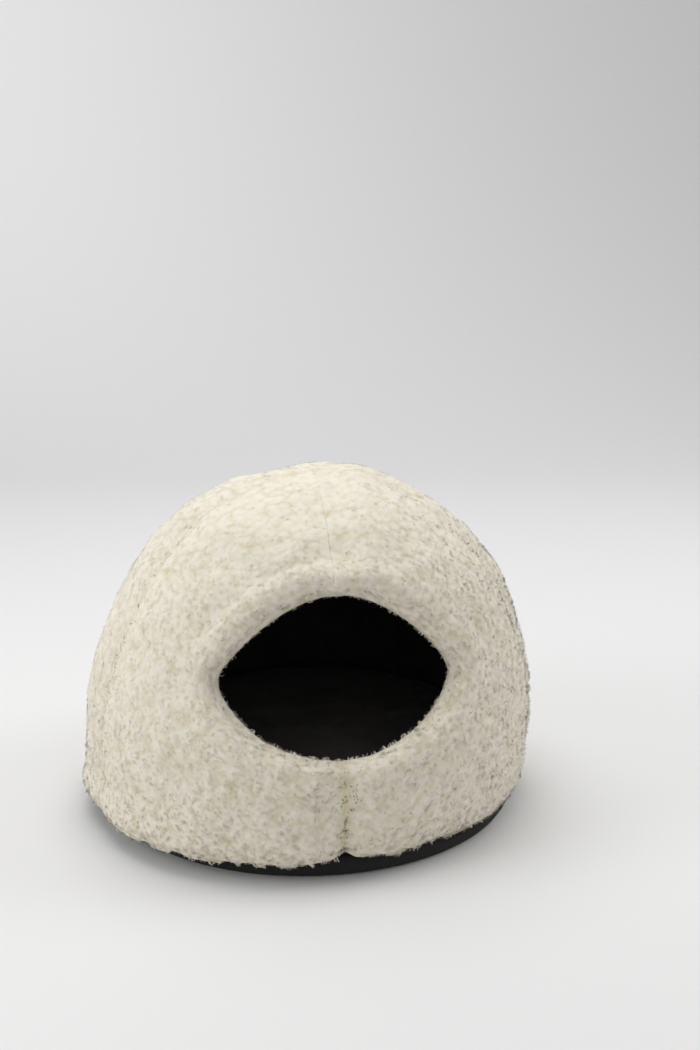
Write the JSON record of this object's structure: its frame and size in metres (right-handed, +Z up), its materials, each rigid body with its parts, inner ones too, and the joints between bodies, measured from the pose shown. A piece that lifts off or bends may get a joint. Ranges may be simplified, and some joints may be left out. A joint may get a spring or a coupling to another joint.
{
  "type": "pet cave bed",
  "caption": "Enclosed igloo-shaped pet bed: padded fleece dome sewn from gores, almond mouth with a rolled edge, black lining, non-slip base and a loose zipped cushion.",
  "frame": {"origin": "centre of the base's flat underside, on the floor", "axes": "+Z up, -Y out of the mouth, +X to the right for someone who looks into the mouth"},
  "size_m": [0.44, 0.4383, 0.3398],
  "materials": {
    "cream_fleece": "matte",
    "wall_foam": "matte",
    "black_lining": "matte",
    "base_fabric": "matte",
    "cushion_fabric": "matte",
    "wadding": "matte",
    "zip_tape": "matte",
    "zip_metal": "satin"
  },
  "bodies": {
    "cave": {"fleece_front_left": "cream_fleece", "fleece_front_right": "cream_fleece", "fleece_right": "cream_fleece", "fleece_back": "cream_fleece", "fleece_left": "cream_fleece", "foam_front_left": "wall_foam", "foam_front_right": "wall_foam", "foam_right": "wall_foam", "foam_back": "wall_foam", "foam_left": "wall_foam", "lining_front_left": "black_lining", "lining_front_right": "black_lining", "lining_right": "black_lining", "lining_back": "black_lining", "lining_left": "black_lining", "base_cover": "base_fabric", "base_foam": "wall_foam", "lining_floor": "black_lining"},
    "cushion": {"cushion_bottom_panel": "cushion_fabric", "cushion_top_panel": "cushion_fabric", "cushion_side_band": "cushion_fabric", "cushion_wadding": "wadding", "zip_lower_half": "zip_tape", "zip_upper_half": "zip_tape", "zip_closed_stop": "zip_metal", "zip_open_stop": "zip_metal"},
    "slider": {"zip_slider": "zip_metal"},
    "pull": {"zip_pull": "zip_metal"}
  },
  "joints": [
    {"name": "cushion_lift", "type": "slide", "parent": "cave", "child": "cushion", "axis": [0, 0, 1], "range_m": [0, 0.05]},
    {"name": "zip_slide", "type": "hinge", "parent": "cushion", "child": "slider", "pos_m": [0, 0, 0.0542], "axis": [0, 0, 1], "range_deg": [0, 103]},
    {"name": "pull_swing", "type": "hinge", "parent": "slider", "child": "pull", "pos_m": [0.1341, 0.1065, 0.0542], "axis": [0, 0, -1], "range_deg": [0, 60]}
  ]
}
